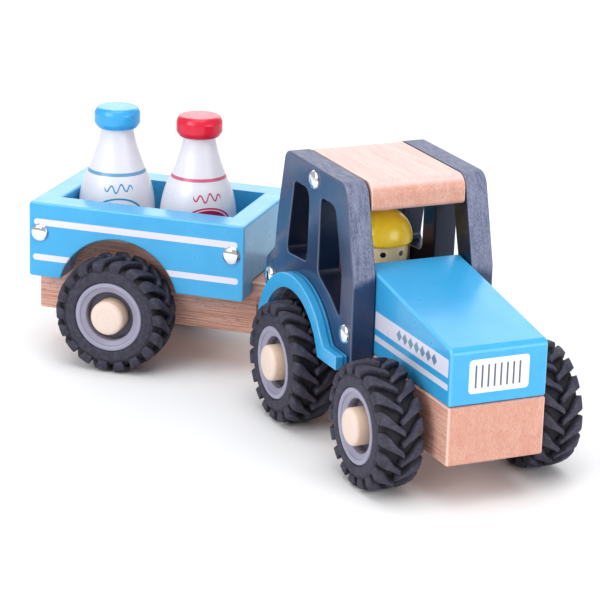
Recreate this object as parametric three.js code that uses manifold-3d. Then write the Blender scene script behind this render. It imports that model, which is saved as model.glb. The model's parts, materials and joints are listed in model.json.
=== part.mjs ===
// Toy tractor with a hitched trailer and two loose bottles. Millimetres, +Z up, tractor facing +X.
import * as THREE from 'three';
import Module from 'manifold-3d';
import { mergeVertices } from 'three/addons/utils/BufferGeometryUtils.js';

const wasm = await Module();
wasm.setup();

// Placement of the two vehicles in the shared frame.
const TRACTOR_FRONT_X = 149.33;
const TRACTOR_CENTRE_Y = 33.87;
const TRAILER_YAW = THREE.MathUtils.degToRad(47.7);
const GAP = 0.3;
const EDGE = 0.8;

// Tractor timber. Distances run back from the front face, so x is negative.
const HALF_WIDTH = 22.5;
const CHASSIS_BOTTOM = 20.6;
const CHASSIS_TOP = 46.2;
const CHASSIS_REAR = -162;
const BONNET_REAR = -81.3;
const BONNET_FRONT_TOP = 70.8;
const BONNET_SLOPE = 0.17;
const PANEL_THICK = 11.1;
const PANEL_TOP = 120.4;
const ROOF_UNDER = 107.8;
const FENDER_THICK = 5.7;
const ARCH_CENTRE_Z = 31.4;
const ARCH_RADIUS = 30.6;
const FENDER_RADIUS = 37.4;
const SEAT_TOP = 60;
const SEAT_BACK_TOP = 76;
const SEAT_BACK_X = -127.2;
const SEAT_SETBACK = 2;
const CHASSIS_EASE = 1.2;

// Driver, turned about a vertical axis and glued in a socket of the seat.
const DRIVER_X = -112.5;
const DRIVER_RADIUS = 12.4;
const DRIVER_BASE = 50.6;
const HAT_RADIUS = 13.7;
const HAT_BASE = 83.9;

// Chromed caps over the screws: place on the tractor's cab sides, and on the trailer's sides.
const SCREW_CAP_SPOTS = [['top', -112, 114.3], ['front', -76.6, 55], ['rear', -157, 58]];
const SCREW_CAP_SEAT = 0.1;
const TRAILER_CAP_Z = 62;
const TRAILER_CAP_INSET_REAR = 5.7;
const TRAILER_CAP_INSET_FRONT = 6.1;

// Wheels, all six alike.
// All heights here count from GROUND_Z under the floor that the tyres stand on.
const AXLE_Z = 29;
const TYRE_RADIUS = 27.5;
const GROUND_Z = AXLE_Z - TYRE_RADIUS;
const TYRE_WIDTH = 20;
const LUG_COUNT = 18;
const LUG_ROOT = 24.5;
const RIM_RADIUS = 16.4;
const RIM_PLANE = 47.3;
const FRONT_AXLE_X = -36;
const REAR_AXLE_X = -121.4;
const AXLE_RADIUS = 3;
const HUB_CAP_RADIUS = 8.1;
const HUB_CAP_PROUD = 2.2;

// Hitch.
const PIN_X = -186.6;
const PIN_RADIUS = 4;
const TONGUE_TOP = 32.5;
const TONGUE_HALF_WIDTH = 14;
const TONGUE_OVERLAP = 4;
const TONGUE_RELIEF = 1.2;
const SOCKET_FLOOR = 3.4;
const PIN_TOP = 51;
const COLLAR_RADIUS = 7.4;
const NOSE_UNDER = 34.7;
const NOSE_RADIUS = 22.4;
const NOSE_STEP_X = -18.5;
const PIN_HOLE_PLAY = 0.4;

// Trailer. Distances run back from the hitch pin along the trailer.
const TRAILER_AXLE_X = -82;
const TRAILER_RIM_PLANE = 49.4;
const BOX_REAR = -127.7;
const BOX_FRONT = -20.6;
const BOX_HALF_WIDTH = 36;
const SIDE_THICK = 13;
const SIDE_BOTTOM = 40.2;
const BOX_TOP = 76.4;
const END_THICK = 11.3;
const FLOOR_TOP = 57.9;
const TRAILER_ARCH_Z = 32.5;
const TRAILER_ARCH_RADIUS = 30;
const TRAILER_ARCH_OFFSET = -0.8;

// Bottles, as [radius, height] profiles.
const BOTTLE_X = [-97.8, -56.4];
const BOTTLE_BASE = FLOOR_TOP + GAP;
const BOTTLE_PROFILE = [
  [16.6, 0], [18, 1.2], [18.2, 4], [18.2, 12], [17.7, 16.5], [16.9, 20.2], [15.5, 24.7], [13.3, 29.4],
  [12.7, 31.2], [11.7, 33.6], [10.2, 38], [8.8, 42.8], [7.8, 47.2], [7.6, 49],
];
const CAP_PROFILE = [[9, 0], [10.4, 0.7], [10.9, 2.2], [10.9, 7], [10.2, 9], [8.8, 9.8]];

const COLOURS = {
  light_blue_paint: [0x36a9e6, 0.35, 0],
  navy_paint: [0x2f4468, 0.4, 0],
  beech: [0xd9a583, 0.65, 0],
  pale_wood: [0xead8bd, 0.55, 0],
  rubber: [0x2e2c34, 0.85, 0],
  rim_plastic: [0xa19eac, 0.4, 0],
  chrome: [0xdfe3e8, 0.12, 1],
  steel: [0xa9adb2, 0.35, 1],
  bottle_white: [0xeceaf0, 0.4, 0],
  cap_blue: [0x2aa6e6, 0.2, 0],
  cap_red: [0xe01f45, 0.2, 0],
  hat_yellow: [0xf0c51c, 0.25, 0],
  face_cream: [0xe6d4b0, 0.5, 0],
};

// ---- geometry helpers ----

function toSolid(geometry) {
  const bare = geometry.clone();
  bare.deleteAttribute('normal');
  bare.deleteAttribute('uv');
  const merged = mergeVertices(bare, 1e-4);
  const mesh = new wasm.Mesh({
    numProp: 3,
    vertProperties: new Float32Array(merged.attributes.position.array),
    triVerts: new Uint32Array(merged.index.array),
  });
  return new wasm.Manifold(mesh);
}

function fromSolid(solid) {
  const mesh = solid.getMesh();
  const geometry = new THREE.BufferGeometry();
  geometry.setAttribute('position', new THREE.BufferAttribute(mesh.vertProperties, 3));
  geometry.setIndex(new THREE.BufferAttribute(mesh.triVerts, 1));
  const flat = geometry.toNonIndexed();
  flat.computeVertexNormals();
  return flat;
}

function cut(geometry, ...tools) {
  let solid = toSolid(geometry);
  for (const tool of tools) {
    solid = solid.subtract(toSolid(tool));
  }
  return fromSolid(solid);
}

function join(geometry, ...others) {
  let solid = toSolid(geometry);
  for (const other of others) {
    solid = solid.add(toSolid(other));
  }
  return fromSolid(solid);
}

function box(x0, x1, y0, y1, z0, z1) {
  const geometry = new THREE.BoxGeometry(x1 - x0, y1 - y0, z1 - z0);
  return geometry.translate((x0 + x1) / 2, (y0 + y1) / 2, (z0 + z1) / 2);
}

// Outline through corner points [x, z, corner radius].
function roundedOutline(corners) {
  const shape = new THREE.Shape();
  const count = corners.length;
  corners.forEach(([x, z, radius], i) => {
    const here = new THREE.Vector2(x, z);
    const before = new THREE.Vector2(...corners[(i + count - 1) % count]);
    const after = new THREE.Vector2(...corners[(i + 1) % count]);
    const reachIn = Math.min(radius, here.distanceTo(before) / 2.01);
    const reachOut = Math.min(radius, here.distanceTo(after) / 2.01);
    const start = before.sub(here).setLength(reachIn).add(here);
    const end = after.sub(here).setLength(reachOut).add(here);
    if (i === 0) {
      shape.moveTo(start.x, start.y);
    } else {
      shape.lineTo(start.x, start.y);
    }
    if (radius > 0) {
      shape.quadraticCurveTo(here.x, here.y, end.x, end.y);
    }
  });
  shape.closePath();
  return shape;
}

// Board cut to a side outline, spanning y0 to y1, with eased edges.
function sideBoard(shape, y0, y1, edge = EDGE, curveSegments = 4) {
  const geometry = new THREE.ExtrudeGeometry(shape, {
    depth: y1 - y0 - 2 * edge,
    bevelEnabled: edge > 0,
    bevelThickness: edge,
    bevelSize: edge,
    bevelOffset: -edge,
    bevelSegments: 1,
    curveSegments,
  });
  return geometry.rotateX(Math.PI / 2).translate(0, y1 - edge, 0);
}

// Board cut to a plan outline, spanning z0 to z1.
function planBoard(shape, z0, z1, edge = EDGE, curveSegments = 8) {
  const geometry = new THREE.ExtrudeGeometry(shape, {
    depth: z1 - z0 - 2 * edge,
    bevelEnabled: edge > 0,
    bevelThickness: edge,
    bevelSize: edge,
    bevelOffset: -edge,
    bevelSegments: 1,
    curveSegments,
  });
  return geometry.translate(0, 0, z0 + edge);
}

function easedBlock(x0, x1, y0, y1, z0, z1, edge = EDGE) {
  return sideBoard(roundedOutline([[x0, z0, 0], [x1, z0, 0], [x1, z1, 0], [x0, z1, 0]]), y0, y1, edge, 1);
}

// Solid of revolution about Z from [radius, z] points.
function turned(profile, segments) {
  return new THREE.LatheGeometry(profile.map(([r, z]) => new THREE.Vector2(r, z)), segments);
}

function rodAlongY(x, z, radius, y0, y1, segments = 16) {
  const geometry = new THREE.CylinderGeometry(radius, radius, y1 - y0, segments);
  return geometry.translate(x, (y0 + y1) / 2, z);
}

function rodAlongZ(x, y, radius, z0, z1, segments = 20) {
  const geometry = new THREE.CylinderGeometry(radius, radius, z1 - z0, segments);
  return geometry.rotateX(Math.PI / 2).translate(x, y, (z0 + z1) / 2);
}

// ---- scene helpers ----

const assembly = new THREE.Group();
assembly.name = 'toy_tractor';

function addPart(name, look, geometry, place) {
  const [colour, roughness, metalness] = COLOURS[look];
  const material = new THREE.MeshStandardMaterial({ color: colour, roughness, metalness });
  material.name = look;
  place(geometry);
  const mesh = new THREE.Mesh(geometry, material);
  mesh.name = name;
  assembly.add(mesh);
}

function onTractor(geometry) {
  return geometry.translate(TRACTOR_FRONT_X, TRACTOR_CENTRE_Y, -GROUND_Z);
}

function onTrailer(geometry) {
  return onTractor(geometry.rotateZ(TRAILER_YAW).translate(PIN_X, 0, 0));
}

// ---- tractor body ----

function chassis() {
  const halfWidth = HALF_WIDTH;
  const heights = [CHASSIS_BOTTOM, CHASSIS_TOP];
  const block = easedBlock(CHASSIS_REAR, 0, -halfWidth, halfWidth, ...heights, CHASSIS_EASE);
  const tongueFront = CHASSIS_REAR + TONGUE_OVERLAP;
  const tongueShape = new THREE.Shape();
  tongueShape.moveTo(tongueFront, -TONGUE_HALF_WIDTH);
  tongueShape.lineTo(tongueFront, TONGUE_HALF_WIDTH);
  tongueShape.lineTo(PIN_X, TONGUE_HALF_WIDTH);
  tongueShape.absarc(PIN_X, 0, TONGUE_HALF_WIDTH, Math.PI / 2, Math.PI * 1.5, false);
  const tongue = planBoard(tongueShape, CHASSIS_BOTTOM + TONGUE_RELIEF, TONGUE_TOP);
  const socket = rodAlongZ(PIN_X, 0, PIN_RADIUS + GAP, CHASSIS_BOTTOM + SOCKET_FLOOR, TONGUE_TOP + 1);
  const bores = [FRONT_AXLE_X, REAR_AXLE_X].map((x) => (
    rodAlongY(x, AXLE_Z, AXLE_RADIUS + GAP, -halfWidth - 1, halfWidth + 1)
  ));
  return cut(join(block, tongue), socket, ...bores);
}

function bonnet() {
  const rearTop = BONNET_FRONT_TOP - BONNET_SLOPE * BONNET_REAR;
  const outline = roundedOutline([
    [BONNET_REAR, CHASSIS_TOP + GAP, 0],
    [0, CHASSIS_TOP + GAP, 0],
    [0, BONNET_FRONT_TOP, 4],
    [BONNET_REAR, rearTop, 2],
  ]);
  return sideBoard(outline, -HALF_WIDTH, HALF_WIDTH, CHASSIS_EASE);
}

function seatBlock() {
  const rear = CHASSIS_REAR + SEAT_SETBACK;
  const outline = roundedOutline([
    [rear, CHASSIS_TOP + GAP, 0],
    [BONNET_REAR - GAP, CHASSIS_TOP + GAP, 0],
    [BONNET_REAR - GAP, SEAT_TOP, 0.8],
    [SEAT_BACK_X, SEAT_TOP, 0],
    [SEAT_BACK_X, SEAT_BACK_TOP, 1.5],
    [rear + (SEAT_BACK_TOP - SEAT_TOP) / 2, SEAT_BACK_TOP, 1.5],
    [rear, SEAT_TOP, 1],
  ]);
  const block = sideBoard(outline, -HALF_WIDTH + GAP, HALF_WIDTH - GAP, 0.4);
  return cut(block, rodAlongZ(DRIVER_X, 0, DRIVER_RADIUS + GAP, DRIVER_BASE - GAP, SEAT_TOP + 1, 24));
}

function cabSide(y0, y1) {
  const shape = roundedOutline([
    [-162.2, 42, 1.5],
    [-161.8, 65.5, 4],
    [-152.8, 73, 4],
    [-150.9, 88, 6],
    [-143.6, PANEL_TOP, 6],
    [-80.6, PANEL_TOP, 8],
    [-70.1, 81, 5],
    [-70.1, 40, 1.5],
    [REAR_AXLE_X + archHalfChord(40), 40, 0],
    ...archPoints(REAR_AXLE_X, ARCH_CENTRE_Z, ARCH_RADIUS, 40, 42),
    [REAR_AXLE_X - archHalfChord(42), 42, 0],
  ]);
  const rearWindow = roundedOutline([
    [-139.8, 74.2, 3],
    [-133.4, 108.4, 3],
    [-117.4, 108.4, 6],
    [-117.9, 75.6, 3],
  ]);
  const frontWindow = roundedOutline([
    [-106.2, 73.6, 4],
    [-105.3, 108, 3],
    [-90.6, 108, 6],
    [-82.4, 80, 4],
    [-83, 60.4, 1.5],
    [-93.6, 67.6, 4],
  ]);
  const windows = [rearWindow, frontWindow].map((outline) => sideBoard(outline, y0 - 1, y1 + 1, 0, 3));
  return cut(sideBoard(shape, y0, y1, EDGE, 3), ...windows);
}

function archHalfChord(z, radius = ARCH_RADIUS, centreZ = ARCH_CENTRE_Z) {
  return Math.sqrt(radius ** 2 - (z - centreZ) ** 2);
}

// Points over a wheel arch from the +X foot at height z0 round to the -X foot at z1.
function archPoints(centreX, centreZ, radius, z0, z1, steps = 12) {
  const start = Math.asin((z0 - centreZ) / radius);
  const end = Math.PI - Math.asin((z1 - centreZ) / radius);
  const points = [];
  for (let i = 1; i < steps; i += 1) {
    const angle = start + ((end - start) * i) / steps;
    points.push([centreX + radius * Math.cos(angle), centreZ + radius * Math.sin(angle), 0]);
  }
  return points;
}

function fender(y0, y1) {
  const tipZ = 42;
  const footTop = 46.7;
  const footBottom = 40.2;
  const footFront = -72.9;
  const inner = archPoints(REAR_AXLE_X, ARCH_CENTRE_Z, ARCH_RADIUS, footBottom, tipZ, 14);
  const outer = archPoints(REAR_AXLE_X, ARCH_CENTRE_Z, FENDER_RADIUS, footTop + 3, tipZ, 14).reverse();
  const shape = roundedOutline([
    [footFront, footBottom, 0],
    [REAR_AXLE_X + archHalfChord(footBottom), footBottom, 0],
    ...inner,
    [REAR_AXLE_X - archHalfChord(tipZ), tipZ, 0],
    [REAR_AXLE_X - archHalfChord(tipZ, FENDER_RADIUS), tipZ, 0],
    ...outer,
    [REAR_AXLE_X + archHalfChord(footTop, FENDER_RADIUS) + 1.2, footTop, 1.5],
    [footFront, footTop, 0],
  ]);
  return sideBoard(shape, y0, y1, 0.5, 3);
}

function roofBoard() {
  const shape = roundedOutline([
    [-141.4, ROOF_UNDER, 1],
    [-77.9, ROOF_UNDER, 2.5],
    [-77.9, PANEL_TOP, 8.5],
    [-143.6, PANEL_TOP, 4.5],
  ]);
  return sideBoard(shape, -HALF_WIDTH + GAP, HALF_WIDTH - GAP, 0.4, 5);
}

// Domed cap over a screw; local +Y is outwards.
function screwCap(x, y, z, outward) {
  const profile = [[0, 0], [4.3, 0], [4.3, 0.4], [3.4, 1.3], [1.9, 1.8], [0, 2]];
  const cap = turned(profile, 12);
  if (outward < 0) {
    cap.rotateX(Math.PI);
  }
  return cap.translate(x, y, z);
}

// ---- wheels ----

function axleRod(x, halfLength) {
  return rodAlongY(x, AXLE_Z, AXLE_RADIUS, -halfLength, halfLength);
}

// Wheel pieces are turned about Y with the outer rim plane at local y = 0 and the wheel towards -Y.
function rimTurned() {
  const inner = -TYRE_WIDTH;
  const profile = [
    [AXLE_RADIUS + GAP, -6], [11.6, -6], [11.6, -2.6], [14.2, -0.8], [14.5, 0], [RIM_RADIUS, -0.2],
    [RIM_RADIUS, -1.5], [15.4, -1.5], [15.4, inner + 1.5], [RIM_RADIUS, inner + 1.5], [RIM_RADIUS, inner],
    [14.2, inner], [13.6, -8.6], [6, -8.6], [6, inner - 4.4], [AXLE_RADIUS + GAP, inner - 4.4],
    [AXLE_RADIUS + GAP, -6],
  ];
  return turned(profile.reverse(), 24);
}

function lugRing(y0, y1, startAngle, endAngle) {
  const shape = new THREE.Shape();
  const pitch = (2 * Math.PI) / LUG_COUNT;
  const marks = [[0, LUG_ROOT], [0.1, TYRE_RADIUS], [0.42, TYRE_RADIUS], [0.52, LUG_ROOT]];
  for (let lug = 0; lug < LUG_COUNT; lug += 1) {
    marks.forEach(([share, radius], i) => {
      const angle = (lug + share - 0.26) * pitch - Math.PI / 2;
      const x = radius * Math.cos(angle);
      const z = radius * Math.sin(angle);
      if (lug === 0 && i === 0) {
        shape.moveTo(x, z);
      } else {
        shape.lineTo(x, z);
      }
    });
  }
  shape.closePath();
  const geometry = new THREE.ExtrudeGeometry(shape, { depth: 1, bevelEnabled: false, steps: 1 });
  const position = geometry.attributes.position;
  for (let i = 0; i < position.count; i += 1) {
    const share = position.getZ(i);
    const angle = startAngle + (endAngle - startAngle) * share;
    const x = position.getX(i);
    const z = position.getY(i);
    const turnedX = x * Math.cos(angle) - z * Math.sin(angle);
    const turnedZ = x * Math.sin(angle) + z * Math.cos(angle);
    position.setXYZ(i, turnedX, y1 + (y0 - y1) * share, turnedZ);
  }
  return geometry;
}

// The lug tips lead at the top of the wheel, so left and right tyres are mirror images.
function tyre(side) {
  const half = -TYRE_WIDTH / 2;
  const slant = THREE.MathUtils.degToRad(-17 * side);
  const stagger = Math.PI / LUG_COUNT;
  const outerRow = lugRing(half, 0, 0, slant);
  const innerRow = lugRing(-TYRE_WIDTH, half, slant + stagger, stagger);
  const bore = turned([
    [0, 1], [RIM_RADIUS + GAP, 1], [RIM_RADIUS + GAP, -1.9], [15.8, -1.9],
    [15.8, 1.9 - TYRE_WIDTH], [RIM_RADIUS + GAP, 1.9 - TYRE_WIDTH], [RIM_RADIUS + GAP, -TYRE_WIDTH - 1],
    [0, -TYRE_WIDTH - 1],
  ].reverse(), 24);
  return cut(join(outerRow, innerRow), bore);
}

function hubCap() {
  const cap = turned([
    [0, -5.6], [HUB_CAP_RADIUS, -5.6], [HUB_CAP_RADIUS, HUB_CAP_PROUD - 1.6], [7.3, HUB_CAP_PROUD - 0.5],
    [5.2, HUB_CAP_PROUD + 0.4], [0, HUB_CAP_PROUD + 0.9],
  ], 20);
  const socket = new THREE.CylinderGeometry(AXLE_RADIUS + GAP, AXLE_RADIUS + GAP, 6, 16);
  return cut(cap, socket.translate(0, -5.6, 0));
}

// Puts a wheel piece on the right (-1) or left (+1) side at an axle.
function atWheel(geometry, x, rimPlane, side) {
  if (side < 0) {
    geometry.rotateZ(Math.PI);
  }
  return geometry.translate(x, side * rimPlane, AXLE_Z);
}

function addAxleSet(name, x, rimPlane, place) {
  addPart(`axle_${name}`, 'steel', axleRod(x, rimPlane - 3.2), place);
  for (const [label, side] of [['right', -1], ['left', 1]]) {
    addPart(`hub_cap_${name}_${label}`, 'pale_wood', atWheel(hubCap(), x, rimPlane, side), place);
    addPart(`rim_${name}_${label}`, 'rim_plastic', atWheel(rimTurned(), x, rimPlane, side), place);
    addPart(`tyre_${name}_${label}`, 'rubber', atWheel(tyre(side), x, rimPlane, side), place);
  }
}

// ---- driver ----

function driverBody() {
  return turned([
    [0, DRIVER_BASE], [DRIVER_RADIUS - 0.6, DRIVER_BASE], [DRIVER_RADIUS, DRIVER_BASE + 0.8],
    [DRIVER_RADIUS, 59], [11.2, 63.5], [9.2, 67], [9.4, 69.5], [11, 73], [11.9, 77],
    [11.9, HAT_BASE - GAP], [0, HAT_BASE - GAP],
  ], 24).rotateX(Math.PI / 2).translate(DRIVER_X, 0, 0);
}

function driverHat() {
  const rimTop = HAT_BASE + 1.6;
  const profile = [[0, HAT_BASE], [13, HAT_BASE], [HAT_RADIUS, HAT_BASE + 0.8], [HAT_RADIUS, rimTop]];
  for (const degrees of [15, 32, 50, 70]) {
    const angle = THREE.MathUtils.degToRad(degrees);
    profile.push([HAT_RADIUS * Math.cos(angle), rimTop + HAT_RADIUS * Math.sin(angle)]);
  }
  profile.push([0, rimTop + HAT_RADIUS]);
  return turned(profile, 24).rotateX(Math.PI / 2).translate(DRIVER_X, 0, 0);
}

// ---- hitch ----

function hitchPin() {
  const foot = CHASSIS_BOTTOM + SOCKET_FLOOR + GAP;
  return turned([
    [0, foot], [PIN_RADIUS, foot], [PIN_RADIUS, TONGUE_TOP + GAP], [COLLAR_RADIUS, TONGUE_TOP + GAP],
    [COLLAR_RADIUS, NOSE_UNDER - GAP], [PIN_RADIUS, NOSE_UNDER - GAP], [PIN_RADIUS, PIN_TOP - 2],
    [2.6, PIN_TOP - 0.4], [0, PIN_TOP],
  ], 20).rotateX(Math.PI / 2).translate(PIN_X, 0, 0);
}

// ---- trailer ----

function trailerBeam() {
  const halfWidth = HALF_WIDTH;
  const plan = new THREE.Shape();
  plan.moveTo(BOX_REAR + GAP, halfWidth);
  plan.lineTo(BOX_REAR + GAP, -halfWidth);
  plan.lineTo(0, -NOSE_RADIUS);
  plan.absarc(0, 0, NOSE_RADIUS, -Math.PI / 2, Math.PI / 2, false);
  const beam = planBoard(plan, CHASSIS_BOTTOM, CHASSIS_TOP, 1, 6);
  const step = box(NOSE_STEP_X, NOSE_RADIUS + 5, -30, 30, CHASSIS_BOTTOM - 5, NOSE_UNDER);
  const pinHole = rodAlongZ(0, 0, PIN_RADIUS + PIN_HOLE_PLAY, NOSE_UNDER - 5, CHASSIS_TOP + 5);
  const axleBore = rodAlongY(TRAILER_AXLE_X, AXLE_Z, AXLE_RADIUS + GAP, -30, 30);
  return cut(beam, step, pinHole, axleBore);
}

function trailerSide(y0, y1) {
  const archX = TRAILER_AXLE_X + TRAILER_ARCH_OFFSET;
  const half = archHalfChord(SIDE_BOTTOM, TRAILER_ARCH_RADIUS, TRAILER_ARCH_Z);
  const shape = roundedOutline([
    [BOX_FRONT, BOX_TOP, 1.5],
    [BOX_FRONT, SIDE_BOTTOM, 1.5],
    [archX + half, SIDE_BOTTOM, 0],
    ...archPoints(archX, TRAILER_ARCH_Z, TRAILER_ARCH_RADIUS, SIDE_BOTTOM, SIDE_BOTTOM, 14),
    [archX - half, SIDE_BOTTOM, 0],
    [BOX_REAR, SIDE_BOTTOM, 1.5],
    [BOX_REAR, BOX_TOP, 1.5],
  ]);
  return sideBoard(shape, y0, y1, EDGE, 2);
}

function trailerInner(x0, x1, z0, z1) {
  const half = BOX_HALF_WIDTH - SIDE_THICK - GAP;
  return easedBlock(x0, x1, -half, half, z0, z1, 0.6);
}

// ---- bottles ----

function bottleBody(x) {
  const profile = [[0, 0], ...BOTTLE_PROFILE, [0, BOTTLE_PROFILE.at(-1)[1]]];
  return turned(profile, 24).rotateX(Math.PI / 2).translate(x, 0, BOTTLE_BASE);
}

function bottleCap(x) {
  const bottom = BOTTLE_PROFILE.at(-1)[1] + GAP;
  const profile = [[0, 0], ...CAP_PROFILE, [0, 9.8]];
  const cap = turned(profile, 24).rotateX(Math.PI / 2);
  return cap.translate(x, 0, BOTTLE_BASE + bottom);
}

// ---- assembly ----

function addTractor() {
  const inner = HALF_WIDTH;
  const outer = HALF_WIDTH + PANEL_THICK;
  addPart('chassis', 'beech', chassis(), onTractor);
  addPart('bonnet', 'light_blue_paint', bonnet(), onTractor);
  addPart('seat_block', 'beech', seatBlock(), onTractor);
  addPart('roof_board', 'beech', roofBoard(), onTractor);
  for (const [label, side] of [['right', -1], ['left', 1]]) {
    const span = (a, b) => [Math.min(side * a, side * b), Math.max(side * a, side * b)];
    addPart(`cab_side_${label}`, 'navy_paint', cabSide(...span(inner + GAP, outer)), onTractor);
    const fenderSpan = span(outer + 0.1, outer + FENDER_THICK);
    addPart(`fender_${label}`, 'light_blue_paint', fender(...fenderSpan), onTractor);
    for (const [spot, x, z] of SCREW_CAP_SPOTS) {
      const cap = screwCap(x, side * (outer + SCREW_CAP_SEAT), z, side);
      addPart(`screw_cap_${spot}_${label}`, 'chrome', cap, onTractor);
    }
  }
  addPart('driver_body', 'face_cream', driverBody(), onTractor);
  addPart('driver_hat', 'hat_yellow', driverHat(), onTractor);
  addAxleSet('front', FRONT_AXLE_X, RIM_PLANE, onTractor);
  addAxleSet('rear', REAR_AXLE_X, RIM_PLANE, onTractor);
  addPart('hitch_pin', 'steel', hitchPin(), onTractor);
}

function addTrailer() {
  const inner = BOX_HALF_WIDTH - SIDE_THICK;
  addPart('trailer_beam', 'beech', trailerBeam(), onTrailer);
  const floorEnds = [BOX_REAR + END_THICK + GAP, BOX_FRONT - END_THICK - GAP];
  addPart('trailer_floor', 'beech', trailerInner(...floorEnds, CHASSIS_TOP + GAP, FLOOR_TOP), onTrailer);
  for (const [label, x0] of [['rear', BOX_REAR], ['front', BOX_FRONT - END_THICK]]) {
    const wall = trailerInner(x0, x0 + END_THICK, CHASSIS_TOP + 0.1, BOX_TOP);
    addPart(`trailer_wall_${label}`, 'light_blue_paint', wall, onTrailer);
  }
  const capSpots = [
    ['rear', BOX_REAR + TRAILER_CAP_INSET_REAR],
    ['front', BOX_FRONT - TRAILER_CAP_INSET_FRONT],
  ];
  for (const [label, side] of [['right', -1], ['left', 1]]) {
    const span = [side * inner, side * BOX_HALF_WIDTH].sort((a, b) => a - b);
    addPart(`trailer_side_${label}`, 'light_blue_paint', trailerSide(...span), onTrailer);
    for (const [spot, x] of capSpots) {
      const cap = screwCap(x, side * (BOX_HALF_WIDTH + SCREW_CAP_SEAT), TRAILER_CAP_Z, side);
      addPart(`trailer_screw_cap_${spot}_${label}`, 'chrome', cap, onTrailer);
    }
  }
  addAxleSet('trailer', TRAILER_AXLE_X, TRAILER_RIM_PLANE, onTrailer);
  for (const [i, name] of ['blue', 'red'].entries()) {
    addPart(`bottle_${name}`, 'bottle_white', bottleBody(BOTTLE_X[i]), onTrailer);
    addPart(`bottle_cap_${name}`, `cap_${name}`, bottleCap(BOTTLE_X[i]), onTrailer);
  }
}

addTractor();
addTrailer();

export default assembly;
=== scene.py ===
"""Wooden toy tractor with a hitched trailer and two bottles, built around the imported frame."""

import json
import math

import bmesh
import bpy
from mathutils import Matrix, Vector
from mathutils.geometry import tessellate_polygon


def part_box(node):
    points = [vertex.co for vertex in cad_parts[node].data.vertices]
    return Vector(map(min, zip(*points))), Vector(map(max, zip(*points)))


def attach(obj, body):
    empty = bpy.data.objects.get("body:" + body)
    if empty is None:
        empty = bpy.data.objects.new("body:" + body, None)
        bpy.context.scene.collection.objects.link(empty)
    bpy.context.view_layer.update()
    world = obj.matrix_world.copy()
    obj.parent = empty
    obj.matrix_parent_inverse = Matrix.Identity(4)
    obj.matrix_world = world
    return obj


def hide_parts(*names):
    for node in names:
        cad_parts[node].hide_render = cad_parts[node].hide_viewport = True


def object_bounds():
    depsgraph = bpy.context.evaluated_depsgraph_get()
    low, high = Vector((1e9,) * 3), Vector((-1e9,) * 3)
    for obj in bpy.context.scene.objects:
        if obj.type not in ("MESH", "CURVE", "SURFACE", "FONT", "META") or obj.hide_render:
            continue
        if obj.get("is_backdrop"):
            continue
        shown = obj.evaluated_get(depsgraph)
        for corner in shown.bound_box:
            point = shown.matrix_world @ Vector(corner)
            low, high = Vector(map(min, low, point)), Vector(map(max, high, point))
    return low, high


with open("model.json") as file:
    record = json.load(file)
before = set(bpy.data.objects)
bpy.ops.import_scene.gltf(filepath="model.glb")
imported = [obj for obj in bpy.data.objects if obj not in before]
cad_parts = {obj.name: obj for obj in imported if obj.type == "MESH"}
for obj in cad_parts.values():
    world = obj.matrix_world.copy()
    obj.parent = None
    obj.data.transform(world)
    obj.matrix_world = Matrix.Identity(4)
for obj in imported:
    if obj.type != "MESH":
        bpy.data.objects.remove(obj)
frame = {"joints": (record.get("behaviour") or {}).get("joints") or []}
cad_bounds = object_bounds()

MM = 0.001
# Heights in this script are measured from GROUND_Z (mm) under the floor that the tyres stand on.
GROUND_Z = 1.5


# ---- placement

def joint_named(name):
    return next(j for j in frame["joints"] if j["name"] == name)


BONNET_LOW, BONNET_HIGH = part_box("bonnet")
PIN = Vector(joint_named("hitch_turn")["pos_m"])
TRAILER_AXIS = Vector(joint_named("wheel_trailer_right_spin")["axis"])
TRAILER_YAW = math.atan2(-TRAILER_AXIS.x, TRAILER_AXIS.y)

# Tractor space: x is 0 on the bonnet's front face and negative behind it, y is 0 on the centreline.
TRACTOR = Matrix.Translation((BONNET_HIGH.x, (BONNET_LOW.y + BONNET_HIGH.y) / 2, -GROUND_Z * MM))
# Trailer space: the same, but x is 0 at the hitch pin, and it turns with the trailer.
TRAILER = Matrix.Translation((PIN.x, PIN.y, -GROUND_Z * MM)) @ Matrix.Rotation(TRAILER_YAW, 4, "Z")

# Sizes and places in millimetres, in tractor space or trailer space.
HALF_WIDTH = 22.5
CHASSIS_BOTTOM = 20.6
CHASSIS_TOP = 46.2
CHASSIS_REAR = -162.0
BONNET_REAR = -81.3
PANEL_THICK = 11.1
PANEL_TOP = 120.4
FENDER_THICK = 5.7
ARCH_Z = 31.4
ARCH_R = 30.6
FENDER_R = 37.4
AXLE_Z = 29.0
FRONT_AXLE = -36.0
REAR_AXLE = -121.4
RIM_PLANE = 47.3
TRAILER_RIM_PLANE = 49.4
TRAILER_AXLE = -82.0
TRAILER_ARCH_SHIFT = 0.8
PIN_X = -186.6
BOX_REAR = -127.7
BOX_FRONT = -20.6
BOX_HALF = 36.0
BOX_INNER = 23.0
BOX_TOP = 76.4
SIDE_BOTTOM = 40.2
END_THICK = 11.3
FLOOR_TOP = 57.9
TYRE_WIDTH = 20.0
AXLE_R = 3.0
GAP = 0.3
GLUE_GAP = 0.15
JOINT_EDGE = 0.004  # rounding where two boards of the box meet
JOINT_LAP = 0.03  # how far the end boards reach into the side boards
PLY = 1.9
DRIVER_X = -112.5
BOTTLE_X = {"blue": -97.8, "red": -56.4}
BOTTLE_BASE = FLOOR_TOP + GAP


# ---- mesh helpers

MAX_REACH = 0.49  # share of a side that the arc at one corner may use
MIN_MITRE = 0.3  # keeps the inset of a very sharp corner short


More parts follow.
